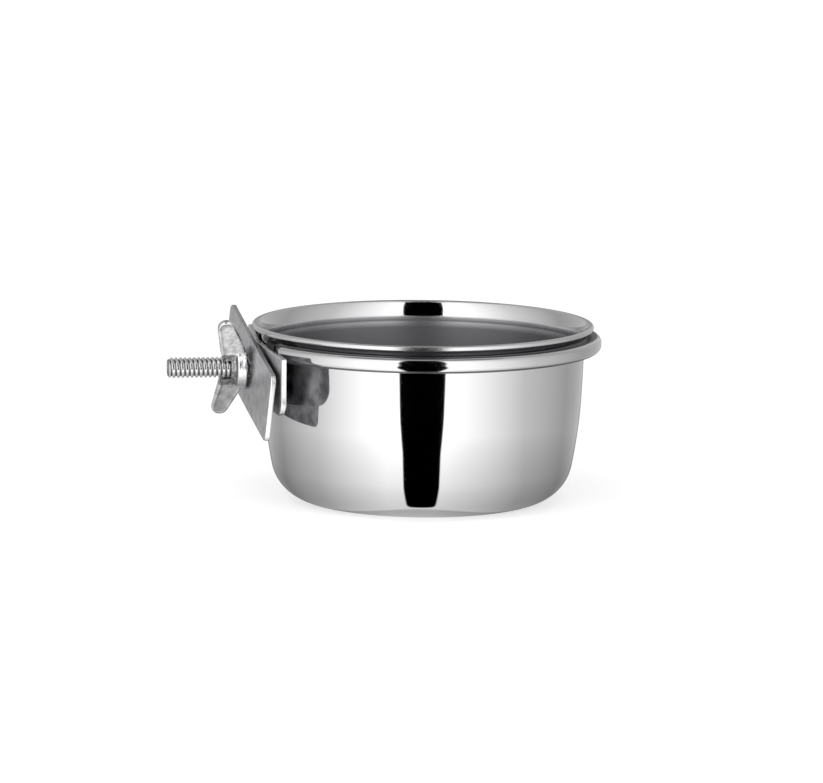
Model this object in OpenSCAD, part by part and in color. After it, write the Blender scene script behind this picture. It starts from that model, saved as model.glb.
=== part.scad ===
// Seed cup on a bolt-on ring: a pressed cup hangs in an open ring, and a V-shaped bracket,
// a bolt, a clamp plate and a wing nut pinch the wires of a cage.
// The cup's axis is Z, its base stands on Z = 0, and the bolt points along -X.

/* [Cup] */
// Height from the base to the top of the rolled rim
cup_h = 41.5; // [38:0.2:60]
// Outside diameter of the wall at the neck, where the ring holds it
neck_d = 75.2; // [66:0.1:90]
// How far the rolled rim stands out from the neck
rim_out = 2.1; // [1.9:0.05:2.6]
// Diameter of the roll along the rim
rim_roll_d = 1.4; // [1.2:0.05:1.8]
// Thickness of the pressed sheet
sheet_t = 0.6; // [0.4:0.05:0.6]
// Outside radius of the flare between neck and rim
flare_r = 2.6; // [2.1:0.1:3]
// Lean of the wall from upright at the neck, in degrees
lean_neck = 1.5; // [0.5:0.25:2]
// Lean of the wall at the belly, in degrees
lean_belly = 3; // [2.25:0.25:4]
// Lean of the wall at the waist, in degrees
lean_waist = 8.4; // [5:0.2:9]
// Lean of the wall where the rounded corner starts, in degrees
lean_corner = 11.2; // [10:0.1:16]

/* [Ring] */
// Gap all round between the neck and the ring
ring_gap = 0.15; // [0.1:0.05:0.5]
// Width of the ring's band, from inside to outside
ring_w = 3.75; // [3:0.05:6]
// Height of the ring's band
ring_h = 3.5; // [3.2:0.1:5]
// Drop from the top of the rim to the top of the ring
ring_drop = 2.6; // [2.6:0.1:6]
// Radius of the two rounded edges on the outside of the band
ring_nose_r = 1.45; // [0.6:0.05:1.5]
// Radius of the two small edges on the inside of the band
ring_edge_r = 0.4; // [0.2:0.05:0.8]
// Width of the ring's opening, behind the fold of the bracket
ring_open_w = 28; // [25:1:34]

/* [Bracket] */
// Width of the bracket across both wings
bracket_w = 58; // [44:0.5:66]
// Height of the bracket
bracket_h = 13.6; // [12:0.1:18]
// Thickness of the bracket's strip
bracket_t = 1.2; // [1:0.1:2]
// Sweep of each wing back from the fold, in degrees
wing_sweep = 4.1; // [2:0.1:8]
// Outside radius of the fold
fold_r = 6; // [4:0.5:10]
// Radius of the bracket's lower corners
bracket_low_r = 4.5; // [2:0.25:5]
// Radius of the bracket's upper corners
bracket_top_r = 0.8; // [0.4:0.1:2]
// Gap between the neck and the inner face of each wing
bracket_gap = 0.3; // [0.1:0.05:1]
// Drop from the top of the ring to the top of the bracket
bracket_drop = 1.3; // [0.5:0.1:2]

/* [Bolt] */
// Diameter over the thread
bolt_d = 4.76; // [4:0.02:6]
// Pitch of the thread
bolt_pitch = 1.058; // [0.8:0.001:1.27]
// Length of bolt outside the bracket
bolt_out = 20.5; // [18:0.1:30]
// Height of the bolt above the middle of the bracket
bolt_rise = 0.85; // [0:0.05:2]
// Largest diameter of the flush head
bolt_head_d = 7.4; // [7:0.1:8]
// Gap all round between the bolt and the bracket
bolt_fit = 0.03; // [0.02:0.01:0.05]

/* [Clamp plate] */
// Length of the plate
plate_l = 51.4; // [40:0.2:60]
// Width of the plate
plate_w = 16; // [12:0.1:20]
// Thickness of the plate
plate_t = 1.2; // [1:0.1:2]
// Radius of the plate's corners
plate_corner_r = 1.8; // [1:0.1:4]
// Gap all round between the plate's hole and the bolt
plate_hole_gap = 0.8; // [0.8:0.05:1.8]
// Height of the hole above the middle of the plate
plate_hole_up = 0.6; // [0:0.05:1]
// Gap between the plate and the wing that it lies along
plate_gap = 0.3; // [0.2:0.05:1.2]
// Drop of the plate's hole, by which the loose plate hangs on the bolt
plate_drop = 0.6; // [0:0.05:0.6]
// Turn of the loose plate about the bolt, in degrees
plate_turn = 11.5; // [0:0.5:20]
// Lean of the loose plate, its lower side away from the bracket, in degrees
plate_lean = 3.5; // [0:0.5:4]

/* [Wing nut] */
// Diameter of the nut's base
nut_base_d = 10.2; // [9:0.1:12]
// Height of the straight part of the base
nut_base_h = 1.9; // [1.5:0.1:2.5]
// Diameter of the hub at its outer end
nut_top_d = 6.8; // [6.4:0.1:8]
// Height of the hub
nut_h = 3.4; // [3:0.1:6]
// Gap all round between the nut's thread and the bolt
nut_fit = 0.05; // [0.02:0.01:0.1]
// Gap between the nut and the nearest point of the plate
nut_gap = 0.1; // [0.1:0.05:0.4]
// Radius of each wing's rounded tip
wing_tip_r = 2; // [1.8:0.1:2.6]
// Radius of each wing's root
wing_root_r = 2.6; // [2.3:0.1:2.8]
// Distance from the bolt's axis to the middle of a root
wing_root_out = 4.7; // [4.3:0.1:4.9]
// Distance from the bolt's axis to the middle of a tip
wing_tip_out = 11.5; // [9.5:0.1:12.5]
// Height of the middle of a tip above the nut's base
wing_tip_up = 5; // [4.6:0.1:6]
// Thickness of a wing
wing_t = 1.9; // [1.4:0.1:2.4]
// Turn of the nut's wings from upright, in degrees
nut_turn = 30; // [0:1:90]

/* [Hidden] */
// Segments in each curve of the cup's and ring's outlines
arc_n = 10;
$fn = 96;
// How far a cutting shape runs past what it cuts
overrun = 1;

// Heights where the wall's lean changes, as shares of the neck's height
wall_z_shares = [0.636, 0.376, 0.218];

neck_r = neck_d / 2;
rim_r = neck_r + rim_out;
rim_roll_r = rim_roll_d / 2;
roll_c = [rim_r - rim_roll_r, cup_h - rim_roll_r];
// The flare is an arc about a point outside the neck, and the roll sits inside its upper face
flare_in_r = flare_r + sheet_t;
flare_c_x = neck_r + flare_r * cos(lean_neck);
flare_rise = sqrt(pow(flare_in_r - rim_roll_r, 2) - pow(flare_c_x - roll_c.x, 2));
flare_c = [flare_c_x, roll_c.y - flare_rise];
neck_z = flare_c.y + flare_r * sin(lean_neck);

// The wall is a chain of arcs, each tangent to the next
wall_z = [neck_z, neck_z * wall_z_shares[0], neck_z * wall_z_shares[1], neck_z * wall_z_shares[2], 0];
wall_lean = [lean_neck, lean_belly, lean_waist, lean_corner, 90];
wall_r = [for (i = [0:3]) (wall_z[i] - wall_z[i + 1]) / (sin(wall_lean[i + 1]) - sin(wall_lean[i]))];
wall_step = [for (i = [0:3]) wall_r[i] * (cos(wall_lean[i]) - cos(wall_lean[i + 1]))];
wall_x = [
    neck_r,
    neck_r - wall_step[0],
    neck_r - wall_step[0] - wall_step[1],
    neck_r - wall_step[0] - wall_step[1] - wall_step[2]
];

ring_in_r = neck_r + ring_gap;
ring_out_r = ring_in_r + ring_w;
ring_top = cup_h - ring_drop;
ring_bottom = ring_top - ring_h;

bracket_top = ring_top - bracket_drop;
bracket_mid = bracket_top - bracket_h / 2;
// The near wing's outer face is a plane at this distance from the cup's axis
wing_plane = neck_r + bracket_gap + bracket_t;
fold_c = (fold_r - wing_plane) / cos(wing_sweep);
// Distance of the fold's outer and inner faces from the cup's axis
bracket_out = fold_r - fold_c;
bracket_in = bracket_out - bracket_t;

bolt_r = bolt_d / 2;
bolt_z = bracket_mid + bolt_rise;
bolt_tip = bracket_out + bolt_out;
bolt_tip_r = bolt_r - bolt_pitch / 2;

// Where the middle of the plate's back stands on the bolt's axis
plate_back = (wing_plane + plate_gap + plate_w / 2 * sin(plate_lean)) / cos(wing_sweep);
plate_hole_r = bolt_r + plate_hole_gap;
// Angle between the plate's face and the face of the nut's base
plate_tilt = acos(cos(wing_sweep) * cos(plate_lean));
nut_base_r = nut_base_d / 2;
nut_seat = plate_back + (plate_t + nut_base_r * sin(plate_tilt)) / cos(plate_tilt) + nut_gap;

// Points on an arc about c, from angle a to angle b
function arc(c, r, a, b, n = arc_n) =
    [for (i = [0:n]) let (t = a + (b - a) * i / n) [c.x + r * cos(t), c.y + r * sin(t)]];

// One face of the wall from the neck down to the base, at a depth inside the outer face
function wall_face(depth) = [
    for (i = [0:3])
        each arc(
            [wall_x[i] - wall_r[i] * cos(wall_lean[i]), wall_z[i] + wall_r[i] * sin(wall_lean[i])],
            wall_r[i] - depth, -wall_lean[i], -wall_lean[i + 1]
        )
];

// Half of a rectangle, standing on the X axis, with its two upper corners round
module round_half(w, h, r) {
    translate([-w / 2, 0])
        square([w, h - r]);
    translate([r - w / 2, 0])
        square([w - 2 * r, h]);
    for (side = [-1, 1])
        translate([side * (w / 2 - r), h - r])
            circle(r = r);
}

// A rectangle centred on the origin, with one radius above and another below
module round_rectangle(w, h, top_r, low_r) {
    round_half(w, h / 2, top_r);
    mirror([0, 1])
        round_half(w, h / 2, low_r);
}

// Two circles joined by their outer tangents
module lobe(p, rp, q, rq) {
    run = norm(q - p);
    way = atan2(q.y - p.y, q.x - p.x);
    lift = acos((rp - rq) / run);
    translate(p)
        circle(r = rp);
    translate(q)
        circle(r = rq);
    polygon([
        p + rp * [cos(way + lift), sin(way + lift)],
        p + rp * [cos(way - lift), sin(way - lift)],
        q + rq * [cos(way - lift), sin(way - lift)],
        q + rq * [cos(way + lift), sin(way + lift)]
    ]);
}

// Turns a shape drawn in X and Y so that its X runs along Y and its Y runs up
module upright() {
    rotate([90, 0, 90])
        children();
}

// The pressed cup: a wall of even thickness, flared at the neck, with a rolled rim
module seed_cup() {
    // Where the flare runs into the roll
    roll_way = atan2(roll_c.y - flare_c.y, roll_c.x - flare_c.x);
    color("gainsboro")
        rotate_extrude($fn = 180)
            union() {
                polygon(concat(
                    [[0, sheet_t], [0, 0]],
                    [for (i = [len(wall_face(0)) - 1:-1:0]) wall_face(0)[i]],
                    arc(flare_c, flare_r, 180 - lean_neck, roll_way),
                    arc(flare_c, flare_in_r, roll_way, 180 - lean_neck),
                    wall_face(sheet_t)
                ));
                translate(roll_c)
                    circle(r = rim_roll_r, $fn = 32);
            }
}

// The band's outline: flat on top and inside, round on the outside
module ring_outline() {
    polygon(concat(
        arc([ring_out_r - ring_nose_r, ring_top - ring_nose_r], ring_nose_r, 90, 0),
        arc([ring_out_r - ring_nose_r, ring_bottom + ring_nose_r], ring_nose_r, 0, -90),
        arc([ring_in_r + ring_edge_r, ring_bottom + ring_edge_r], ring_edge_r, -90, -180, 4),
        arc([ring_in_r + ring_edge_r, ring_top - ring_edge_r], ring_edge_r, 180, 90, 4)
    ));
}

// The V seen from above, its faces at a depth inside the outer face
function v_face(depth, reach) =
    let (
        r = fold_r - depth,
        run = (reach - r * sin(wing_sweep)) / cos(wing_sweep),
        end = [fold_c - r * cos(wing_sweep) + run * sin(wing_sweep), reach]
    )
    concat([[end.x, -end.y]], arc([fold_c, 0], r, 180 + wing_sweep, 180 - wing_sweep), [end]);

// Everything outside the bracket's inner face, as seen from above
module outside_bracket() {
    reach = ring_out_r + overrun;
    far = -bracket_out - ring_w;
    polygon(concat(v_face(bracket_t, reach), [[far, reach], [far, -reach]]));
}

// The open ring: its ends are cut flat against the bracket's inner face and stop behind its wings
module hanger_ring() {
    color("silver")
        difference() {
            rotate_extrude($fn = 180)
                ring_outline();
            translate([0, 0, ring_bottom - overrun])
                linear_extrude(ring_h + 2 * overrun)
                    outside_bracket();
            translate([-ring_out_r - overrun, -ring_open_w / 2, ring_bottom - overrun])
                cube([ring_out_r + overrun, ring_open_w, ring_h + 2 * overrun]);
        }
}

// The bent strip: a V with round corners and a countersunk hole for the bolt
module v_bracket() {
    reach = bracket_w / 2 + overrun;
    outer = v_face(0, reach);
    inner = v_face(bracket_t, reach);
    color("lightgray")
        difference() {
            intersection() {
                translate([0, 0, bracket_mid - bracket_h])
                    linear_extrude(2 * bracket_h)
                        polygon(concat(outer, [for (i = [len(inner) - 1:-1:0]) inner[i]]));
                translate([-bracket_out - overrun, 0, bracket_mid])
                    upright()
                        linear_extrude(bracket_out)
                            round_rectangle(bracket_w, bracket_h, bracket_top_r, bracket_low_r);
            }
            translate([-bracket_out, 0, bolt_z])
                rotate([0, 90, 0])
                    bolt_head(bolt_fit);
            translate([-bracket_out - overrun, 0, bolt_z])
                rotate([0, 90, 0])
                    cylinder(r = bolt_r + bolt_fit, h = bracket_t + 2 * overrun);
            // Clears what is left of the strip behind the head
            translate([-bracket_in, 0, bolt_z])
                rotate([0, 90, 0])
                    cylinder(r = bolt_head_d / 2 + bolt_fit, h = overrun);
        }
}

// The countersunk head, from the shank's diameter up to the head's, as deep as the strip
module bolt_head(gap) {
    cylinder(r1 = bolt_r + gap, r2 = bolt_head_d / 2 + gap, h = bracket_t);
}

// The bolt: a flush head in the bracket, a long shank and a chamfered tip
module clamp_bolt() {
    color("darkgray")
        translate([-bracket_in, 0, bolt_z])
            rotate([0, -90, 0])
                union() {
                    translate([0, 0, bracket_t])
                        mirror([0, 0, 1])
                            bolt_head(0);
                    cylinder(r = bolt_r, h = bolt_tip - bracket_in - bolt_pitch / 2);
                    translate([0, 0, bolt_tip - bracket_in - bolt_pitch / 2])
                        cylinder(r1 = bolt_r, r2 = bolt_tip_r, h = bolt_pitch / 2);
                }
}

// The loose strip that hangs on the bolt and lies along the bracket's near wing
module clamp_plate() {
    color("lightgray")
        translate([-plate_back, 0, bolt_z])
            rotate([0, 0, wing_sweep])
                rotate([0, plate_lean, 0])
                    translate([-plate_t, 0, -plate_drop])
                        rotate([plate_turn, 0, 0])
                            upright()
                                linear_extrude(plate_t)
                                    difference() {
                                        translate([0, -plate_hole_up])
                                            round_rectangle(plate_l, plate_w, plate_corner_r, plate_corner_r);
                                        circle(r = plate_hole_r);
                                    }
}

// The wing nut: a round hub with two swept wings, bored to run on the bolt
module wing_nut() {
    color("silver")
        translate([-nut_seat, 0, bolt_z])
            rotate([nut_turn, 0, 0])
                rotate([0, -90, 0])
                    difference() {
                        union() {
                            cylinder(r = nut_base_r, h = nut_base_h);
                            translate([0, 0, nut_base_h])
                                cylinder(r1 = nut_base_r, r2 = nut_top_d / 2, h = nut_h - nut_base_h);
                            for (side = [0, 180])
                                rotate([90, 0, side])
                                    translate([0, 0, -wing_t / 2])
                                        linear_extrude(wing_t)
                                            lobe(
                                                [wing_root_out, wing_root_r], wing_root_r,
                                                [wing_tip_out, wing_tip_up], wing_tip_r
                                            );
                        }
                        translate([0, 0, -overrun])
                            cylinder(r = bolt_r + nut_fit, h = wing_tip_up + wing_tip_r + 2 * overrun);
                    }
}

seed_cup();
hanger_ring();
v_bracket();
clamp_bolt();
clamp_plate();
wing_nut();
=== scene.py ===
import math

import bmesh
import bpy
from mathutils import Euler, Matrix, Quaternion, Vector


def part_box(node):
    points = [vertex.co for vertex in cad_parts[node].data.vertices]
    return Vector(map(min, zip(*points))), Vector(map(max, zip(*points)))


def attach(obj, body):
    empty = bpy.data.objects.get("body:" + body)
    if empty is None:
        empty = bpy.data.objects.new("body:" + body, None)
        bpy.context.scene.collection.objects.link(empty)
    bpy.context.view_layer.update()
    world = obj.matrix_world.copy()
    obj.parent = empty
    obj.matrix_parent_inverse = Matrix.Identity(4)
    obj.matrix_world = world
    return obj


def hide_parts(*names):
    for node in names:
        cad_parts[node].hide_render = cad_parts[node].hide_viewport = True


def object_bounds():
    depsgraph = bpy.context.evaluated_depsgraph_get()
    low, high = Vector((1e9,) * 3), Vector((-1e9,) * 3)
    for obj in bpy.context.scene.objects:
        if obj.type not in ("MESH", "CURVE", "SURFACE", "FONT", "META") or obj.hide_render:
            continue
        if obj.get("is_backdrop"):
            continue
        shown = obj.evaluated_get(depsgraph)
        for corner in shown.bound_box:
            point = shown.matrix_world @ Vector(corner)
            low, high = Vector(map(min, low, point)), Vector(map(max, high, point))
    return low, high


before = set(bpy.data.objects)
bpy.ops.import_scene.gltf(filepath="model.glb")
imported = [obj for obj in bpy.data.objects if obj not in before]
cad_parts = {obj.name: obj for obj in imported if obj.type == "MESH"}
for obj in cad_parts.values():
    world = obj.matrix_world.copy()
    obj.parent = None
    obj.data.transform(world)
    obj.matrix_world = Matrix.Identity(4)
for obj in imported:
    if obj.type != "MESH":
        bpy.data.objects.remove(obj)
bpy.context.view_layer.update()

# A bolt-on seed cup for a cage. Everything is in metres, with the cup's axis on Z, its base at
# Z = 0 and the bolt along -X. The sections follow the cup as it is put together.
scene = bpy.context.scene
scene.view_settings.view_transform = "Standard"
MM = 0.001


# The camera. It stands a little over a metre away, slightly above the rim, and the whole clamp is
# turned towards it by its azimuth. The picture hangs a little to one side, hence the roll.
image_w = 823
camera_azimuth = math.radians(-9.6)
camera_elevation = math.radians(8.94)
camera_roll = math.radians(0.6)
camera_target = Vector((0, 0, 20.4 * MM))
camera_distance = 1165 * MM
pixel_at_target = 0.233 * MM
target_right_px = 10.6
target_down_px = 20.5

camera_data = bpy.data.cameras.new("camera")
camera_data.sensor_width = 36
camera_data.lens = camera_data.sensor_width * camera_distance / (pixel_at_target * image_w)
camera_data.shift_x = -target_right_px / image_w
camera_data.shift_y = target_down_px / image_w
camera_data.clip_start = 0.1
camera_data.clip_end = 100
camera = bpy.data.objects.new("camera", camera_data)
scene.collection.objects.link(camera)
scene.camera = camera
camera_back = Vector((
    math.sin(camera_azimuth) * math.cos(camera_elevation),
    -math.cos(camera_azimuth) * math.cos(camera_elevation),
    math.sin(camera_elevation),
))
camera.location = camera_target + camera_back * camera_distance
camera.rotation_mode = "QUATERNION"
camera.rotation_quaternion = camera_back.to_track_quat("Z", "Y") @ Quaternion((0, 0, 1), camera_roll)


# The floor and the air round the cup: one pale, even surface that runs out of sight. It keeps the
# soft shadow, and a share of its own light brings it up to white for the eye and in the metal.
def linear(code):
    """An sRGB hex colour as linear red, green, blue and full alpha."""
    parts = [int(code[i:i + 2], 16) / 255 for i in (1, 3, 5)]
    return tuple(c / 12.92 if c <= 0.04045 else ((c + 0.055) / 1.055) ** 2.4 for c in parts) + (1.0,)


def add(tree, kind, links=(), values=(), **settings):
    """Adds a node: its settings by name, its links as (input, output), its values as (input, value)."""
    made = tree.nodes.new(kind)
    for name, value in settings.items():
        setattr(made, name, value)
    for name, value in values:
        made.inputs[name].default_value = value
    for name, source in links:
        tree.links.new(source, made.inputs[name])
    return made


def new_material(name):
    """An empty node material and its tree."""
    made = bpy.data.materials.new(name)
    made.use_nodes = True
    made.node_tree.nodes.clear()
    return made, made.node_tree


def seen_ray(tree):
    """1 for camera, mirror and glass rays, 0 for the rays that carry diffuse light."""
    rays = add(tree, "ShaderNodeLightPath").outputs
    first = add(tree, "ShaderNodeMath", [(0, rays["Is Camera Ray"]), (1, rays["Is Glossy Ray"])],
                operation="MAXIMUM")
    both = add(tree, "ShaderNodeMath", [(0, first.outputs[0]), (1, rays["Is Transmission Ray"])],
               operation="MAXIMUM")
    return both.outputs[0]


floor_reach = 40.0
floor_drop = 0.2 * MM
floor_glow = 0.66
bpy.ops.mesh.primitive_plane_add(size=2 * floor_reach, location=(0, 0, -floor_drop))
floor = bpy.context.object
floor.name = "floor"
floor_paint, tree = new_material("matt white floor")
base = add(tree, "ShaderNodeBsdfDiffuse", values=[("Color", linear("#f0f0f0"))])
dim = add(tree, "ShaderNodeMath", [(0, seen_ray(tree))], [(1, floor_glow)], operation="MULTIPLY")
glow = add(tree, "ShaderNodeEmission", [("Strength", dim.outputs[0])])
both = add(tree, "ShaderNodeAddShader", [(0, base.outputs[0]), (1, glow.outputs[0])])
add(tree, "ShaderNodeOutputMaterial", [("Surface", both.outputs[0])])
floor.data.materials.append(floor_paint)
floor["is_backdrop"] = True

world = bpy.data.worlds.new("white air")
scene.world = world
world.use_nodes = True
tree = world.node_tree
tree.nodes.clear()
air_light = 0.32
level = add(tree, "ShaderNodeMapRange", [("Value", seen_ray(tree))],
            [("To Min", air_light), ("To Max", 1.0)])
air = add(tree, "ShaderNodeBackground", [("Strength", level.outputs[0])], [("Color", (1, 1, 1, 1))])
add(tree, "ShaderNodeOutputWorld", [("Surface", air.outputs[0])])

sun_data = bpy.data.lights.new("soft sun", "SUN")
sun_data.energy = 0.5
sun_data.angle = math.radians(50)
sun = bpy.data.objects.new("soft sun", sun_data)
sun.rotation_euler = Euler((math.radians(24), math.radians(-14), 0))
sun.visible_glossy = False
scene.collection.objects.link(sun)


# The light tent: a round wall, a table ring and a lid of panels that only polished metal sees.
# They are black in the slit for the lens, brightest beside it and greyer round to the back.
panel_light = 1.95
tent_r = 0.6
tent_h = 1.2
table_in_r = 24 * MM
tent_sides = 96
# The slit widens from the lens's side of the cup: three lines, each from where it would start and how
# fast it widens to each side; then where it starts, how far that moves out and how much it widens with
# height, how round its corners are and how soft its edge is
slit_lines = [(18 * MM, 0.25), (28.5 * MM, 0.31), (-17.8 * MM, 0.243)]
slit_start = 32.3 * MM
slit_lean = 0.15
slit_flare = 0.052
slit_round = 2 * MM
slit_edge = 0.25 * MM
# Bearing from the lens in degrees, and the panels' share of full light there: full beside the lens,
# about half of that 40 degrees round, a quarter at 65 and a third from the panels at the sides
panel_stops = [
    (-90, 0.33), (-65, 0.25), (-40, 0.5), (-12, 1.0), (5, 1.0), (40, 0.42), (65, 0.25), (90, 0.33),
]
panel_span = 100
# The cup's wall nearly doubles a bearing as it mirrors it, and less so close by: by how much, and from
# what length
mirror_turn = 1.9
mirror_near = 23 * MM
# Distance from the cup's axis in millimetres, and how much of that light the table keeps there
table_stops = [(0, 0.5), (32, 0.5), (36, 0.55), (53, 0.72), (67, 0.83), (95, 1.0)]
table_span = 100
# The shade at the cup's foot: how far it reaches in front, how fast it draws back to each side, how
# soft it is, and how much light it keeps
foot_reach = 31.3 * MM
foot_curve = 31.2
foot_soft = 0.6 * MM
foot_share = 0.62
# Millimetres from the axis towards the lens, and the lid's share of full light there
lid_stops = [(-600, 0.12), (-60, 0.14), (40, 0.24), (300, 0.4), (600, 0.56)]
lid_span = 600


def maths(tree, operation, *terms):
    """One Math node; each term is a number or the output of another node."""
    made = tree.nodes.new("ShaderNodeMath")
    made.operation = operation
    for i, term in enumerate(terms):
        if isinstance(term, (int, float)):
            made.inputs[i].default_value = term
        else:
            tree.links.new(term, made.inputs[i])
    return made.outputs[0]


def ramp(tree, source, stops, low, high):
    """A grey ramp over source, from low to high, with its stops given as (place, level)."""
    share = add(tree, "ShaderNodeMapRange", [("Value", source)], [("From Min", low), ("From Max", high)])
    made = add(tree, "ShaderNodeValToRGB", [("Fac", share.outputs[0])])
    marks = made.color_ramp.elements
    while len(marks) < len(stops):
        marks.new(0.5)
    for mark, (place, level) in zip(marks, stops):
        mark.position = (place - low) / (high - low)
        mark.color = (level, level, level, 1)
    return made.outputs["Color"]


def from_lens(tree, place):
    """How far a place lies ahead of the cup's axis towards the lens, and how far aside to the right."""
    ahead = (math.sin(camera_azimuth), -math.cos(camera_azimuth), 0)
    aside = (math.cos(camera_azimuth), math.sin(camera_azimuth), 0)
    ways = [add(tree, "ShaderNodeVectorMath", [(0, place)], [(1, way)], operation="DOT_PRODUCT")
            for way in (ahead, aside)]
    return [way.outputs["Value"] for way in ways]


def slit_light(tree, place, along, across):
    """0 in the slit and 1 outside it."""
    height = add(tree, "ShaderNodeSeparateXYZ", [(0, place)]).outputs["Z"]
    near, far, wall = [
        maths(tree, "MULTIPLY", maths(tree, "SUBTRACT", along, start), spread)
        for start, spread in slit_lines]
    half = maths(tree, "MINIMUM", maths(tree, "MAXIMUM", near, far), wall)
    half = maths(tree, "ADD", half, maths(tree, "MULTIPLY", height, slit_flare))
    inside = maths(tree, "SUBTRACT", half, maths(tree, "ABSOLUTE", across))
    start = maths(tree, "ADD", maths(tree, "MULTIPLY", height, slit_lean), slit_start)
    past = maths(tree, "SUBTRACT", along, start)
    both = maths(tree, "SMOOTH_MIN", inside, past, slit_round)
    light = add(tree, "ShaderNodeMapRange", [("Value", both)],
                [("From Min", -slit_edge), ("From Max", slit_edge), ("To Min", 1.0), ("To Max", 0.0)])
    return light.outputs[0]


def panel_material(name, level):
    """A glowing panel with the slit in it; level(tree, place, along, across) is its share of full light."""
    made, tree = new_material(name)
    place = add(tree, "ShaderNodeTexCoord").outputs["Object"]
    along, across = from_lens(tree, place)
    lit = maths(tree, "MULTIPLY", slit_light(tree, place, along, across), panel_light)
    glow = add(tree, "ShaderNodeEmission", [
        ("Color", level(tree, place, along, across)), ("Strength", lit)])
    add(tree, "ShaderNodeOutputMaterial", [("Surface", glow.outputs[0])])
    return made


def round_light(tree, place, along, across):
    """The light of the wall and the table: by the bearing, and near the cup also by the distance."""
    reach = add(tree, "ShaderNodeVectorMath", [(0, place)], operation="LENGTH").outputs["Value"]
    turned = maths(tree, "SUBTRACT", mirror_turn, maths(tree, "DIVIDE", mirror_near, reach))
    bearing = maths(tree, "DEGREES", maths(tree, "DIVIDE", maths(tree, "ARCTAN2", across, along), turned))
    round_share = ramp(tree, bearing, panel_stops, -panel_span, panel_span)
    near_share = ramp(tree, maths(tree, "DIVIDE", reach, MM), table_stops, 0, table_span)
    drawn = maths(tree, "MULTIPLY", maths(tree, "MULTIPLY", across, across), foot_curve)
    foot = add(tree, "ShaderNodeMapRange", [("Value", maths(tree, "ADD", along, drawn))], [
        ("From Min", foot_reach), ("From Max", foot_reach + foot_soft),
        ("To Min", foot_share), ("To Max", 1.0)])
    return maths(tree, "MULTIPLY", maths(tree, "MULTIPLY", round_share, near_share), foot.outputs[0])


def lid_light(tree, place, along, across):
    """The light of the lid, which falls off towards the back."""
    return ramp(tree, maths(tree, "DIVIDE", along, MM), lid_stops, -lid_span, lid_span)


def only_in_metal(panel):
    """Only mirror rays meet this panel: it hides nothing, lights nothing and casts no shadow."""
    panel.visible_camera = False
    panel.visible_diffuse = False
    panel.visible_transmission = False
    panel.visible_volume_scatter = False
    panel.visible_shadow = False
    panel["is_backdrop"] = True


def object_from(name, made):
    """A new object from a bmesh, linked to the scene."""
    mesh = bpy.data.meshes.new(name)
    made.to_mesh(mesh)
    made.free()
    placed = bpy.data.objects.new(name, mesh)
    scene.collection.objects.link(placed)
    return placed


def sweep_round(name, line, sides, closed):
    """Turns a line of (radius, height) points round Z; a closed line makes a solid, and points on the
    axis become one point."""
    made = bmesh.new()
    rings = []
    turns = [2 * math.pi * i / sides for i in range(sides)]
    for radius, height in line:
        if radius == 0:
            rings.append([made.verts.new((0, 0, height))] * sides)
        else:
            spots = [(radius * math.cos(t), radius * math.sin(t), height) for t in turns]
            rings.append([made.verts.new(spot) for spot in spots])
    pairs = list(zip(rings, rings[1:]))
    if closed:
        pairs.append((rings[-1], rings[0]))
    for low, high in pairs:
        for i in range(sides):
            j = (i + 1) % sides
            corners = []
            for corner in (low[i], low[j], high[j], high[i]):
                if corner not in corners:
                    corners.append(corner)
            if len(corners) > 2:
                made.faces.new(corners)
    bmesh.ops.recalc_face_normals(made, faces=made.faces)
    return object_from(name, made)


wall_panels = sweep_round("tent_wall", [(tent_r, 0), (tent_r, tent_h)], tent_sides, False)
wall_panels.data.materials.append(panel_material("tent wall panels", round_light))
only_in_metal(wall_panels)
table_line = [(table_in_r, -floor_drop / 2), (tent_r, -floor_drop / 2)]
table_panels = sweep_round("tent_table", table_line, tent_sides, False)
table_panels.data.materials.append(panel_material("tent table panels", round_light))
only_in_metal(table_panels)
lid = sweep_round("tent_lid", [(0, tent_h), (tent_r, tent_h)], tent_sides, False)
lid.data.materials.append(panel_material("tent lid panel", lid_light))
only_in_metal(lid)


# The cup is pressed from thin stainless sheet and trimmed, and its edge is rolled over a wire-thick
# curl. Outside and at the lip it is buffed to a mirror that shows the tent; inside it is left satin.
cup_box_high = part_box("seed_cup")[1]
cup_h = cup_box_high.z
rim_r = cup_box_high.x
rim_out = 2.1 * MM
curl_r = 0.7 * MM
sheet = 0.6 * MM
flare_r = 2.6 * MM
lip_r = 8 * MM
# How far above the lip's centre the buffing starts to take over, and where it has done so
lip_fade = (1.05 * MM, 1.5 * MM)
foot_ring_r = 12 * MM
# How steeply the wall leans in from the neck down, and what share of the neck's height is left there
leans = [math.radians(a) for a in (1.5, 3, 8.4, 11.2, 90)]
lean_shares = (1, 0.636, 0.376, 0.218, 0)
cup_sides = 240
wall_steps = (12, 12, 12, 28)


def arc(centre, radius, start, end, steps):
    """Points on an arc, from one angle to another."""
    turns = [start + (end - start) * i / steps for i in range(steps + 1)]
    return [(centre[0] + radius * math.cos(t), centre[1] + radius * math.sin(t)) for t in turns]


neck_r = rim_r - rim_out
curl = (rim_r - curl_r, cup_h - curl_r)
flare_x = neck_r + flare_r * math.cos(leans[0])
flare_lift = math.sqrt((flare_r + sheet - curl_r) ** 2 - (flare_x - curl[0]) ** 2)
flare = (flare_x, curl[1] - flare_lift)
neck_z = flare[1] + flare_r * math.sin(leans[0])


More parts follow.
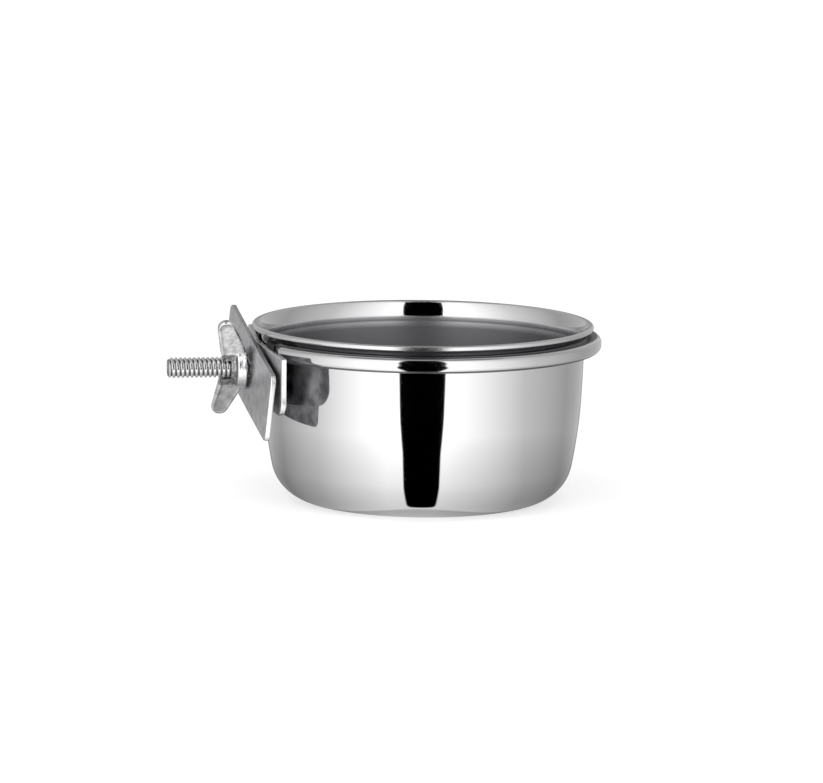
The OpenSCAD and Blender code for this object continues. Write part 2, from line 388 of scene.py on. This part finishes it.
def cup_wall(depth):
    """One face of the wall, from the neck to the foot, as arcs that run into each other."""
    line = []
    radius = neck_r
    for i in range(len(wall_steps)):
        high, low = neck_z * lean_shares[i], neck_z * lean_shares[i + 1]
        bend = (high - low) / (math.sin(leans[i + 1]) - math.sin(leans[i]))
        centre = (radius - bend * math.cos(leans[i]), high + bend * math.sin(leans[i]))
        line += arc(centre, bend - depth, -leans[i], -leans[i + 1], wall_steps[i])[(1 if i else 0):]
        radius = centre[0] + bend * math.cos(leans[i + 1])
    return line


to_curl = math.atan2(curl[1] - flare[1], curl[0] - flare[0])
reach = flare_r + sheet - curl_r
meet = math.acos((reach ** 2 + curl_r ** 2 - flare_r ** 2) / (2 * reach * curl_r))
curl_start = to_curl + math.pi - meet
crease = (curl[0] + curl_r * math.cos(curl_start), curl[1] + curl_r * math.sin(curl_start))
crease_way = math.atan2(crease[1] - flare[1], crease[0] - flare[0])
outside = [(0, 0), (foot_ring_r, 0)] + cup_wall(0)[::-1]
outside += arc(flare, flare_r, math.pi - leans[0], crease_way, 14)[1:]
# Inside, the flare is a wider sweep that runs out of the roll and ends upright
lip_x = neck_r - sheet + lip_r
lip = (lip_x, curl[1] - math.sqrt((lip_r - curl_r) ** 2 - (lip_x - curl[0]) ** 2))
to_lip = math.atan2(curl[1] - lip[1], curl[0] - lip[0])
roll = arc(curl, curl_r, curl_start, to_lip + 2 * math.pi, 30)[1:]
inside = arc(lip, lip_r, to_lip, math.pi, 20)[1:] + [p for p in cup_wall(sheet) if p[1] < lip[1]]
inside += [(foot_ring_r, sheet), (0, sheet)]
cup = sweep_round("cup", outside + roll + inside, cup_sides, False)


def smooth(piece, sharp=30):
    """Smooth shading, with an edge where the surface turns by more than sharp degrees."""
    piece.data.shade_smooth()
    piece.data.set_sharp_from_angle(angle=math.radians(sharp))


smooth(cup)


def polished(name, code, rough):
    """Stainless steel, cut with a fine compound: a grey mirror that is soft only at its edges."""
    made, tree = new_material(name)
    shader = add(tree, "ShaderNodeBsdfPrincipled", values=[
        ("Base Color", linear(code)), ("Metallic", 1.0), ("Roughness", rough)])
    add(tree, "ShaderNodeOutputMaterial", [("Surface", shader.outputs[0])])
    return made


cup.data.materials.append(polished("buffed stainless", "#cfcfd0", 0.05))
cup.data.materials.append(polished("rolled edge", "#cfcfd0", 0.22))
# Inside, the steel's grey is painted darker than outside, as the shade in the cup's hollow; its satin
# roughness is its own. Both give way to the buffed mirror at the lip.
inside_paint, tree = new_material("satin inside with painted shade, buffed at the lip")
where = add(tree, "ShaderNodeTexCoord")
height = add(tree, "ShaderNodeSeparateXYZ", [(0, where.outputs["Object"])]).outputs["Z"]
buffed = add(tree, "ShaderNodeMapRange", [("Value", height)], [
    ("From Min", lip[1] + lip_fade[0]), ("From Max", lip[1] + lip_fade[1])])
colour = add(tree, "ShaderNodeMix", [("Factor", buffed.outputs[0])],
             [("A", linear("#a8a8aa")), ("B", linear("#cfcfd0"))], data_type="RGBA")
rough = add(tree, "ShaderNodeMapRange", [("Value", buffed.outputs[0])],
            [("To Min", 0.32), ("To Max", 0.05)])
shader = add(tree, "ShaderNodeBsdfPrincipled", [
    ("Base Color", colour.outputs["Result"]), ("Roughness", rough.outputs[0])], [("Metallic", 1.0)])
add(tree, "ShaderNodeOutputMaterial", [("Surface", shader.outputs[0])])
cup.data.materials.append(inside_paint)
for face in cup.data.polygons:
    place = face.center
    from_curl = math.dist((math.hypot(place.x, place.y), place.z), curl)
    inward = face.normal.x * place.x + face.normal.y * place.y < 0
    if from_curl < 1.02 * curl_r:
        face.material_index = 1
    elif inward or (face.normal.z > 0.5 and place.z < 2 * sheet):
        face.material_index = 2
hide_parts("seed_cup")
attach(cup, "cup")


# The hanger ring is one length of heavy half-round stainless band, rolled to a circle with its flat
# side in. Its ends are ground to lie against the back of the bracket; the flat top stays dull.
ring_box_low, ring_box_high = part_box("hanger_ring")
ring_gap = 0.15 * MM
ring_nose_r = 1.45 * MM
ring_edge_r = 0.4 * MM
ring_open_half = 14 * MM
# How far to each side of -X the band is painted near black, as the shade between the bracket and the rim
ring_end_shade_half = 19 * MM
# The band is dull as drawn where its face is turned up by more than this, and painted dark grey as shade
# where it is turned down by more than this
ring_dull_up = 0.93
ring_shade_down = -0.62
bracket_gap = 0.3 * MM
wing_sweep = math.radians(4.1)
ring_in_r = neck_r + ring_gap
ring_out_r = ring_box_high.x
bracket_plane = neck_r + bracket_gap
ring_steps = 220


def loft(name, loops, closed=False):
    """Joins loops of points, each of the same count, into a skin; its ends are capped or it closes up."""
    made = bmesh.new()
    rows = [[made.verts.new(point) for point in loop] for loop in loops]
    pairs = list(zip(rows, rows[1:]))
    if closed:
        pairs.append((rows[-1], rows[0]))
    else:
        made.faces.new(rows[0])
        made.faces.new(rows[-1])
    for low, high in pairs:
        for i in range(len(low)):
            j = (i + 1) % len(low)
            made.faces.new((low[i], low[j], high[j], high[i]))
    bmesh.ops.recalc_face_normals(made, faces=made.faces)
    return object_from(name, made)


def ring_end(radius):
    """How far round from -X the band stops, for one radius in it."""
    stop = math.asin(ring_open_half / radius)
    if radius > bracket_plane:
        stop = max(stop, wing_sweep + math.acos(bracket_plane / radius))
    return stop


ring_top = ring_box_high.z
ring_low = ring_box_low.z
ring_line = (
    arc((ring_out_r - ring_nose_r, ring_low + ring_nose_r), ring_nose_r, -math.pi / 2, 0, 10)
    + arc((ring_out_r - ring_nose_r, ring_top - ring_nose_r), ring_nose_r, 0, math.pi / 2, 10)
    + arc((ring_in_r + ring_edge_r, ring_top - ring_edge_r), ring_edge_r, math.pi / 2, math.pi, 5)
    + arc((ring_in_r + ring_edge_r, ring_low + ring_edge_r), ring_edge_r, math.pi, 1.5 * math.pi, 5)
)
ring_loops = []
for i in range(ring_steps + 1):
    loop = []
    for radius, height in ring_line:
        turn = (math.pi - ring_end(radius)) * (1 - 2 * i / ring_steps)
        loop.append((radius * math.cos(turn), radius * math.sin(turn), height))
    ring_loops.append(loop)
ring = loft("hanger_ring_band", ring_loops)
smooth(ring)
ring.data.materials.append(polished("buffed band", "#cfcfd0", 0.08))
ring.data.materials.append(polished("as-drawn band and painted shade below", "#77777a", 0.42))
ring.data.materials.append(polished("painted shade at the band's ends", "#3c3a39", 0.4))
for face in ring.data.polygons:
    place = face.center
    inner = math.hypot(place.x, place.y) < ring_out_r - ring_nose_r and place.z > ring_low + ring_edge_r
    # Near its ends, between the bracket and the rim, the band is painted near black as shade
    if place.x < 0 and abs(place.y) < ring_end_shade_half:
        face.material_index = 2
    # On its flat side and top the band is dull as drawn; on its faces turned down the same dark grey is
    # painted shade
    elif inner or not ring_shade_down <= face.normal.z <= ring_dull_up:
        face.material_index = 1
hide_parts("hanger_ring")
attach(ring, "holder")


# The bracket is a strip of stainless sheet, blanked with rounded lower corners and folded once to a
# shallow V. Its blanked edges are tumbled, so each carries a small bright round.
bracket_box_low, bracket_box_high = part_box("v_bracket")
bracket_t = 1.2 * MM
fold_r = 6 * MM
bracket_low_r = 4.5 * MM
bracket_top_r = 0.8 * MM
sheet_edge_r = 0.28 * MM
# Rows this far past each round keep the flat faces flat in the shading
edge_hold = 0.05 * MM
end_draft = math.tan(math.radians(4.5))
bracket_half = bracket_box_high.y
bracket_top = bracket_box_high.z
bracket_low = bracket_box_low.z
fold_x = (fold_r - bracket_plane - bracket_t) / math.cos(wing_sweep)
fold_run = fold_r * math.sin(wing_sweep)


def on_bracket(y, depth):
    """Where a point of the strip lies: y across the bracket, and how deep inside the outer face."""
    radius = fold_r - depth
    turn = max(-1, min(1, y / fold_run)) * wing_sweep
    past = (abs(y) - fold_run) / math.cos(wing_sweep) if abs(y) > fold_run else 0
    x = fold_x - radius * math.cos(turn) + past * math.sin(wing_sweep)
    return x, radius * math.sin(turn) + math.copysign(past * math.cos(wing_sweep), y)


def corner_cut(off, radius):
    """How much a corner of that radius takes off the height, at a distance from the end."""
    if off >= radius:
        return 0
    return radius - math.sqrt(max(0, radius ** 2 - (radius - off) ** 2))


def strip_section(low, high, thick, inset):
    """The strip's section as (height, depth) points, with its edges round; inset shrinks it."""
    edge = sheet_edge_r - inset
    line = []
    for centre, start in (
        ((low + sheet_edge_r, sheet_edge_r), math.pi),
        ((low + sheet_edge_r, thick - sheet_edge_r), math.pi / 2),
        ((high - sheet_edge_r, thick - sheet_edge_r), 0),
        ((high - sheet_edge_r, sheet_edge_r), -math.pi / 2),
    ):
        bend = arc(centre, edge, start + math.pi / 2, start, 4)
        ahead = (math.cos(start), math.sin(start))
        line += [(bend[0][0] - edge_hold * ahead[0], bend[0][1] - edge_hold * ahead[1])] + bend
        line += [(bend[-1][0] + edge_hold * ahead[1], bend[-1][1] - edge_hold * ahead[0])]
    return line


bracket_offs = [sheet_edge_r * (1 - math.cos(math.radians(a))) for a in (0, 8, 25, 45, 67, 90)]
bracket_offs += [
    sheet_edge_r + bracket_low_r * (1 - math.cos(math.radians(a))) for a in range(6, 91, 6)]
bracket_ys = [bracket_half - off for off in bracket_offs]
bracket_ys += [fold_run + (bracket_ys[-1] - fold_run) * i / 12 for i in range(11, 0, -1)]
bracket_ys += [fold_run * i / 4 for i in range(4, 0, -1)]
bracket_ys = bracket_ys + [0] + [-y for y in bracket_ys[::-1]]
bracket_loops = []
for y in bracket_ys:
    off = bracket_half - abs(y)
    low = bracket_low + corner_cut(off, bracket_low_r)
    high = bracket_top - corner_cut(off, bracket_top_r)
    inset = corner_cut(off, sheet_edge_r)
    section = strip_section(low, high, bracket_t, min(inset, 0.98 * sheet_edge_r))
    sheared = [y * (1 - end_draft * depth / bracket_half) for height, depth in section]
    bracket_loops.append([
        on_bracket(y, depth) + (height,) for y, (height, depth) in zip(sheared, section)])
bracket = loft("bracket_strip", bracket_loops)
smooth(bracket, 40)


def mottled(name, code, pits, rough, grain, depth):
    """Metal as the press and the tumbling drum leave it: a little uneven, with darker hollows."""
    made, tree = new_material(name)
    where = add(tree, "ShaderNodeTexCoord")
    noise = add(tree, "ShaderNodeTexNoise", [("Vector", where.outputs["Object"])], [
        ("Scale", 1 / grain), ("Detail", 3.0)])
    clear = add(tree, "ShaderNodeMapRange", [("Value", noise.outputs[0])],
                [("From Min", 0.3), ("From Max", 0.62)])
    colour = add(tree, "ShaderNodeMix", [("Factor", clear.outputs[0])],
                 [("A", linear(pits)), ("B", linear(code))], data_type="RGBA")
    dents = add(tree, "ShaderNodeBump", [("Height", noise.outputs[0])],
                [("Strength", 1.0), ("Distance", depth)])
    shader = add(tree, "ShaderNodeBsdfPrincipled", [
        ("Base Color", colour.outputs["Result"]), ("Normal", dents.outputs[0])], [
        ("Metallic", 1.0), ("Roughness", rough)])
    add(tree, "ShaderNodeOutputMaterial", [("Surface", shader.outputs[0])])
    return made


bracket.data.materials.append(mottled("rolled sheet", "#cccccf", "#b4b4b6", 0.27, 2.4 * MM, 0.04 * MM))
# The sheared ends are rough as cut and painted whiter as a highlight
end_highlight = polished("sheared end, painted whiter as a highlight", "#f2f2f2", 0.38)
# The back, which faces the cup, is dull as rolled and painted darker as the shade it stands in
strip_back_shade = mottled("dull back of the strip, painted darker as shade", "#b8b8ba", "#6c6c6e", 0.3, 4 * MM, 0.05 * MM)


def shade_back_light_ends(piece):
    """Gives the side that faces the cup its dull rolled finish, painted darker as shade, and paints the
    sheared ends whiter as a highlight.
    """
    piece.data.materials.append(strip_back_shade)
    piece.data.materials.append(end_highlight)
    for face in piece.data.polygons:
        if face.normal.x > 0.9:
            face.material_index = 1
        elif abs(face.normal.y) > 0.6:
            face.material_index = 2


shade_back_light_ends(bracket)
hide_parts("v_bracket")
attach(bracket, "holder")


# Each end of the ring is fixed to the back of the bracket. Only darkness shows there, so the lumpy
# weld run in the wedge between them is a guess, and its near-black colour is painted shade.
weld_reach = 6.5 * MM
weld_lump = 0.14 * MM
weld_beads = 9
weld_steps = 54
weld_sink = 0.35 * MM
weld_in_strip = 0.02 * MM
for side, name in ((-1, "weld_near"), (1, "weld_far")):
    loops = []
    for i in range(weld_steps + 1):
        y = side * (weld_reach + (ring_open_half + weld_sink - weld_reach) * i / weld_steps)
        lump = weld_lump * abs(math.sin(math.pi * weld_beads * i / weld_steps))
        inner = -math.sqrt((ring_in_r + weld_lump / 2) ** 2 - y ** 2)
        outer = on_bracket(y, bracket_t)[0] + weld_in_strip
        middle = (inner + outer) / 2
        low, high = ring_low + weld_sink, ring_top - weld_sink
        loops.append([(inner, y, low), (inner, y, high), (middle, y, high + lump), (outer, y, high),
                      (outer, y, low), (middle, y, low - lump)])
    weld = loft(name, loops)
    smooth(weld, 60)
    # The weld's near-black colour is painted shade for the wedge
    weld.data.materials.append(polished("weld painted near black as shade", "#33302e", 0.5))
    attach(weld, "holder")


# The bolt is a 3/16 in countersunk screw with a rolled thread, set flush in the fold and welded
# from behind. Its thread runs right out to a chamfered end.
bolt_box_low, bolt_box_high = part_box("clamp_bolt")
bolt_r = 2.38 * MM
bolt_pitch = 1.058 * MM
thread_depth = 0.52 * MM
# How steep the thread's flanks are, how deep they run before the root goes flat, and the longest gap
# that is closed at its seam
flank_slope = 2.9
root_share = 0.86
seam_gap = 0.004 * MM
head_r = 3.7 * MM
head_proud = 0.06 * MM
bolt_z = 31.65 * MM
bolt_foot_x = bolt_box_high.x
bolt_length = bolt_box_high.x - bolt_box_low.x
thread_start = bracket_t + 0.5 * bolt_pitch
turn_steps = 72
pitch_steps = 16


def socket_id(tree, name):
    """The identifier of a node tree's named input."""
    return next(item.identifier for item in tree.interface.items_tree if item.name == name)


thread_tree = bpy.data.node_groups.new("rolled thread", "GeometryNodeTree")
thread_sizes = {
    "Length": bolt_length - thread_start, "Pitch": bolt_pitch, "Crest": bolt_r, "Depth": thread_depth,
}
for name in thread_sizes:
    thread_tree.interface.new_socket(name=name, in_out="INPUT", socket_type="NodeSocketFloat")
thread_tree.interface.new_socket(name="Steps", in_out="INPUT", socket_type="NodeSocketInt")
thread_tree.interface.new_socket(name="Steel", in_out="INPUT", socket_type="NodeSocketMaterial")
thread_tree.interface.new_socket(name="Geometry", in_out="OUTPUT", socket_type="NodeSocketGeometry")
given = add(thread_tree, "NodeGroupInput").outputs


def on_thread(operation, *terms):
    """One Math node in the thread's tree."""
    return maths(thread_tree, operation, *terms)


# A flat grid, one column for each step round the bolt, is sheared by one pitch and rolled up
grid_long = on_thread("ADD", given["Length"], on_thread("MULTIPLY", given["Pitch"], 2))
grid = add(thread_tree, "GeometryNodeMeshGrid", [("Size X", grid_long), ("Vertices X", given["Steps"])],
           [("Size Y", 2 * math.pi), ("Vertices Y", turn_steps + 1)])
spot = add(thread_tree, "ShaderNodeSeparateXYZ", [
    (0, add(thread_tree, "GeometryNodeInputPosition").outputs[0])])
angle = on_thread("ADD", spot.outputs["Y"], math.pi)
lead = on_thread("MULTIPLY", on_thread("DIVIDE", angle, 2 * math.pi), given["Pitch"])
from_end = on_thread("ADD", spot.outputs["X"], on_thread("DIVIDE", grid_long, 2))
along = on_thread("SUBTRACT", on_thread("ADD", from_end, lead), given["Pitch"])
phase = on_thread("FRACT", on_thread("DIVIDE", from_end, given["Pitch"]))
valley = on_thread("ABSOLUTE", on_thread("SUBTRACT", phase, 0.5))
sunk = on_thread("SUBTRACT", 1.0, on_thread("MULTIPLY", valley, flank_slope))
sunk = on_thread("MAXIMUM", on_thread("MINIMUM", sunk, root_share), 0.0)
radius = on_thread("SUBTRACT", given["Crest"], on_thread("MULTIPLY", sunk, given["Depth"]))
rest = on_thread("SUBTRACT", given["Length"], along)
taper = on_thread("ADD", on_thread("SUBTRACT", given["Crest"], given["Depth"]), rest)
radius = on_thread("MINIMUM", radius, taper)
in_run = on_thread("MULTIPLY", on_thread("GREATER_THAN", along, 0.0),
               on_thread("LESS_THAN", along, given["Length"]))
radius = on_thread("MULTIPLY", radius, in_run)
height = on_thread("MINIMUM", on_thread("MAXIMUM", along, 0.0), given["Length"])
rolled = add(thread_tree, "ShaderNodeCombineXYZ", [
    ("X", on_thread("MULTIPLY", radius, on_thread("COSINE", angle))),
    ("Y", on_thread("MULTIPLY", radius, on_thread("SINE", angle))), ("Z", height)])
placed = add(thread_tree, "GeometryNodeSetPosition", [
    ("Geometry", grid.outputs["Mesh"]), ("Position", rolled.outputs[0])])
joined = add(thread_tree, "GeometryNodeMergeByDistance", [("Geometry", placed.outputs[0])],
             [("Distance", seam_gap)])
real = add(thread_tree, "GeometryNodeRealizeInstances", [("Geometry", joined.outputs[0])])
painted = add(thread_tree, "GeometryNodeSetMaterial", [
    ("Geometry", real.outputs[0]), ("Material", given["Steel"])])
add(thread_tree, "NodeGroupOutput", [("Geometry", painted.outputs[0])])


def shaded_thread(name, crest_grey, root_shade, rough):
    """Bright steel painted darker down in the thread as shade in its roots, by the distance from the bolt's
    axis.
    """
    made, tree = new_material(name)
    where = add(tree, "ShaderNodeTexCoord")
    apart = add(tree, "ShaderNodeVectorMath", [(0, where.outputs["Object"])], [(1, (0, 0, bolt_z))],
                operation="SUBTRACT")
    flat = add(tree, "ShaderNodeVectorMath", [(0, apart.outputs[0])], [(1, (0, 1, 1))],
               operation="MULTIPLY")
    reach = add(tree, "ShaderNodeVectorMath", [(0, flat.outputs[0])], operation="LENGTH")
    crest = add(tree, "ShaderNodeMapRange", [("Value", reach.outputs["Value"])],
                [("From Min", bolt_r - 0.9 * thread_depth), ("From Max", bolt_r - 0.4 * thread_depth)])
    colour = add(tree, "ShaderNodeMix", [("Factor", crest.outputs[0])],
                 [("A", linear(root_shade)), ("B", linear(crest_grey))], data_type="RGBA")
    shader = add(tree, "ShaderNodeBsdfPrincipled", [("Base Color", colour.outputs["Result"])],
                 [("Metallic", 1.0), ("Roughness", rough)])
    add(tree, "ShaderNodeOutputMaterial", [("Surface", shader.outputs[0])])
    return made


thread_seed = bpy.data.objects.new("thread_seed", bpy.data.meshes.new("thread_seed"))
scene.collection.objects.link(thread_seed)
roll_up = thread_seed.modifiers.new("thread", "NODES")
roll_up.node_group = thread_tree
for name, size in thread_sizes.items():
    roll_up[socket_id(thread_tree, name)] = size
thread_runs = (thread_sizes["Length"] + 2 * bolt_pitch) / bolt_pitch
roll_up[socket_id(thread_tree, "Steps")] = round(thread_runs * pitch_steps) + 1
# The thread's roots are painted darker as shade
roll_up[socket_id(thread_tree, "Steel")] = shaded_thread("rolled thread", "#f0f0f0", "#5c5c5e", 0.12)
grown = thread_seed.evaluated_get(bpy.context.evaluated_depsgraph_get())
thread = bpy.data.objects.new("bolt_thread", bpy.data.meshes.new_from_object(grown))
bpy.data.objects.remove(thread_seed)
scene.collection.objects.link(thread)
away = Matrix.Translation((bolt_foot_x, 0, bolt_z)) @ Matrix.Rotation(-math.pi / 2, 4, "Y")
thread.data.transform(away @ Matrix.Translation((0, 0, thread_start)))
smooth(thread, 35)
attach(thread, "holder")

shank_end = thread_start + 0.2 * bolt_pitch
shank_line = [
    (0, -head_proud), (head_r - 3 * head_proud, -head_proud), (head_r, 0), (head_r, head_proud),
    (bolt_r - thread_depth, bracket_t), (bolt_r - thread_depth, shank_end), (0, shank_end),
]
shank = sweep_round("bolt_head_and_shank", shank_line, 72, False)
shank.data.transform(away)
smooth(shank)
shank.data.materials.append(polished("turned head", "#c0c0c2", 0.22))
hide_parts("clamp_bolt")
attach(shank, "holder")


# The clamp plate is a loose strip of the same sheet with a big round hole, and it hangs askew on
# the bolt. Blanking bowed it a little, and tumbling took its corners and edges round.
plate_l = 51.4 * MM
plate_w = 16 * MM
plate_t = 1.2 * MM
plate_corner_r = 1.8 * MM
plate_hole_r = 3.18 * MM
plate_hole_up = 0.6 * MM
plate_gap = 0.3 * MM
plate_drop = 0.6 * MM
plate_turn = math.radians(11.5)
plate_lean = math.radians(3.5)
plate_bow = 0.12 * MM
plate_off = bracket_plane + bracket_t + plate_gap + plate_w / 2 * math.sin(plate_lean)
plate_back = plate_off / math.cos(wing_sweep)


def plate_rim(inset):
    """The plate's outline at an inset from its edge, as points round the hole."""
    half_l, half_w, radius = plate_l / 2 - inset, plate_w / 2 - inset, plate_corner_r - inset
    line = []
    for side_y, side_z, start in ((1, 1, 0), (-1, 1, 90), (-1, -1, 180), (1, -1, 270)):
        centre = (side_y * (half_l - radius), side_z * (half_w - radius))
        line += arc(centre, radius, math.radians(start), math.radians(start + 90), 8)
        start_y, start_z = line[-1]
        long_side = start in (0, 180)
        steps = 24 if long_side else 8
        run = 2 * (half_l - radius) if long_side else 2 * (half_w - radius)
        way = {0: (-1, 0), 90: (0, -1), 180: (1, 0), 270: (0, 1)}[start]
        parts = [run * i / steps for i in range(1, steps)]
        line += [(start_y + way[0] * part, start_z + way[1] * part) for part in parts]
    return [(y, z - plate_hole_up) for y, z in line]


plate_edge = plate_rim(0)
plate_bearings = [math.atan2(z + 0.0, y) for y, z in plate_edge]


def plate_hole(radius):
    """The hole's edge, with one point opposite each point of the outline."""
    return [(radius * math.cos(t), radius * math.sin(t)) for t in plate_bearings]


def plate_level(line, height):
    """Lifts a loop of (y, z) points to its place through the thickness, with the bow and sheared ends."""
    drawn = 1 - end_draft * (plate_t - height) / (plate_l / 2)
    return [(height + plate_bow * (2 * abs(y) / plate_l) ** 2, y * drawn, z) for y, z in line]


plate_loops = []
for face, side in ((0, 1), (plate_t, -1)):
    rim_in = plate_rim(sheet_edge_r)
    hole_in = plate_hole(plate_hole_r + sheet_edge_r)
    rounds = [math.radians(a) for a in (0, 22.5, 45, 67.5, 90)]
    stage = []
    for t in rounds[::-1]:
        level = face + side * sheet_edge_r * (1 - math.sin(t))
        stage.append(plate_level(plate_hole(plate_hole_r + sheet_edge_r * (1 - math.cos(t))), level))
    stage = stage[::-1]
    for t in (0.02, 0.2, 0.4, 0.6, 0.8, 0.98):
        blend = [(a[0] + (b[0] - a[0]) * t, a[1] + (b[1] - a[1]) * t) for a, b in zip(hole_in, rim_in)]
        stage.append(plate_level(blend, face))
    for t in rounds[::-1]:
        level = face + side * sheet_edge_r * (1 - math.sin(t))
        stage.append(plate_level(plate_rim(sheet_edge_r * (1 - math.cos(t))), level))
    hold = face + side * (sheet_edge_r + edge_hold)
    stage = [plate_level(plate_hole(plate_hole_r), hold)] + stage + [plate_level(plate_rim(0), hold)]
    plate_loops += stage if side > 0 else stage[::-1]
plate = loft("clamp_plate_strip", plate_loops, closed=True)
plate_place = Matrix.Translation((-plate_back, 0, bolt_z)) @ Matrix.Rotation(wing_sweep, 4, "Z")
plate_place = plate_place @ Matrix.Rotation(plate_lean, 4, "Y")
plate_place = plate_place @ Matrix.Translation((-plate_t, 0, -plate_drop))
plate.data.transform(plate_place @ Matrix.Rotation(plate_turn, 4, "X"))
smooth(plate, 40)
plate.data.materials.append(mottled("tumbled sheet", "#c6c6c8", "#acacae", 0.34, 2.4 * MM, 0.06 * MM))
# As on the bracket, the plate's back is painted darker as shade and its ends whiter as a highlight
shade_back_light_ends(plate)
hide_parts("clamp_plate")
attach(plate, "plate")


# The wing nut is cold-forged in one blow: a round flange, a short hub and two swept wings with
# dished faces and fat edges. Its forms run into each other and it is tumbled bright.
nut_base_r = 5.1 * MM
nut_base_h = 1.9 * MM
nut_neck_r = 4.68 * MM
nut_top_r = 3.4 * MM
nut_h = 3.4 * MM
nut_bore_r = bolt_r + 0.06 * MM
nut_turn = math.radians(30)
nut_gap = 0.1 * MM
nut_edge = 0.3 * MM
# Heights over the flange of the three bends by which it runs into the hub
nut_bends = (0.2 * MM, 0.4 * MM, 0.8 * MM)
# The rounds of a wing's outline, counter-clockwise: distance from the bolt's axis, height and radius
wing_rounds = [
    (4.95 * MM, 2.7 * MM, 2.5 * MM), (11.5 * MM, 5 * MM, 2 * MM), (5.5 * MM, 3.6 * MM, 2.45 * MM),
    (3.4 * MM, 4.65 * MM, 0.85 * MM),
]
wing_t = 1.9 * MM
# From the outline's rounds' centres (0) to the outline (1), and the wing's thickness there
wing_dish = [(0.1, 0.84), (0.4, 0.84), (0.62, 0.88), (0.78, 1.0), (0.9, 0.92), (0.97, 0.62), (1.0, 0.25)]
# Distance from the bolt's axis, and how much thicker or thinner than wing_t the wing is there
wing_taper = [(3.5 * MM, 1.5), (10 * MM, 0.8)]
nut_grain = 0.11 * MM
plate_tilt = math.acos(math.cos(wing_sweep) * math.cos(plate_lean))
nut_seat = plate_back + (plate_t + nut_base_r * math.sin(plate_tilt)) / math.cos(plate_tilt) + nut_gap

hub_line = [
    (nut_bore_r, 0), (nut_base_r - nut_edge / 2, 0), (nut_base_r, nut_edge / 2), (nut_neck_r, nut_base_h),
    (nut_neck_r - nut_edge, nut_base_h + nut_bends[0]), (nut_top_r + nut_edge, nut_base_h + nut_bends[1]),
    (nut_top_r, nut_base_h + nut_bends[2]), (nut_top_r, nut_h - nut_edge), (nut_top_r - nut_edge, nut_h),
    (nut_bore_r + nut_edge, nut_h), (nut_bore_r, nut_h - nut_edge),
]
hub = sweep_round("hub", hub_line, 72, True)


def wing_edge():
    """The wing's outline as (point, centre of its round) pairs, along arcs and the lines between them."""
    ways = []
    for i, start in enumerate(wing_rounds):
        end = wing_rounds[(i + 1) % len(wing_rounds)]
        way = math.atan2(end[1] - start[1], end[0] - start[0])
        ways.append(way - math.acos((start[2] - end[2]) / math.dist(start[:2], end[:2])))
    pairs = []
    for i, (x, z, radius) in enumerate(wing_rounds):
        turn = (ways[i] - ways[i - 1]) % (2 * math.pi)
        pairs += [(point, (x, z)) for point in arc((x, z), radius, ways[i - 1], ways[i - 1] + turn, 12)]
    return pairs


def taper(x):
    """The wing's thickness at a distance from the bolt's axis, as a share of wing_t."""
    (start, thick), (end, thin) = wing_taper
    share = max(0, min(1, (x - start) / (end - start)))
    return thick + (thin - thick) * share


def wing_loops(side):
    """A wing as loops from the middle of one face over the edge to the middle of the other."""
    loops = []
    for share, thick in wing_dish:
        level = [(c[0] + (p[0] - c[0]) * share, c[1] + (p[1] - c[1]) * share) for p, c in wing_edge()]
        loops.append([(side * x, side * thick * taper(x) * wing_t / 2, z) for x, z in level])
    return loops + [[(x, -y, z) for x, y, z in loop] for loop in loops[::-1]]


shapes = [hub] + [loft("wing", wing_loops(side)) for side in (1, -1)]
forged = bmesh.new()
for shape in shapes:
    forged.from_mesh(shape.data)
    bpy.data.objects.remove(shape)
raw = object_from("raw_nut", forged)
grain = raw.modifiers.new("one forging", "REMESH")
grain.mode = "VOXEL"
grain.voxel_size = nut_grain
soften = raw.modifiers.new("tumbled", "SMOOTH")
soften.iterations = 4
soften.factor = 0.5
shaped = raw.evaluated_get(bpy.context.evaluated_depsgraph_get())
nut = bpy.data.objects.new("wing_nut_forging", bpy.data.meshes.new_from_object(shaped))
bpy.data.objects.remove(raw)
scene.collection.objects.link(nut)
nut_place = Matrix.Translation((-nut_seat, 0, bolt_z)) @ Matrix.Rotation(nut_turn, 4, "X")
nut.data.transform(nut_place @ Matrix.Rotation(-math.pi / 2, 4, "Y"))
smooth(nut, 60)
nut.data.materials.clear()
nut.data.materials.append(mottled("bright forging", "#f8f8f8", "#c4c4c6", 0.2, 1.8 * MM, 0.12 * MM))
# The hub and the wings' roots above the flange are painted darker as the shade between the wings
nut.data.materials.append(mottled("hub painted darker as shade", "#b4b4b6", "#59595b", 0.3, 0.9 * MM, 0.16 * MM))
for face in nut.data.polygons:
    place = face.center
    out = math.hypot(place.y, place.z - bolt_z)
    if place.x < -nut_seat - nut_base_h and out < nut_neck_r - nut_edge / 2:
        face.material_index = 1
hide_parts("wing_nut")
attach(nut, "nut")


# The finished model's box, over the pieces that render, without the backdrop
low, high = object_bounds()
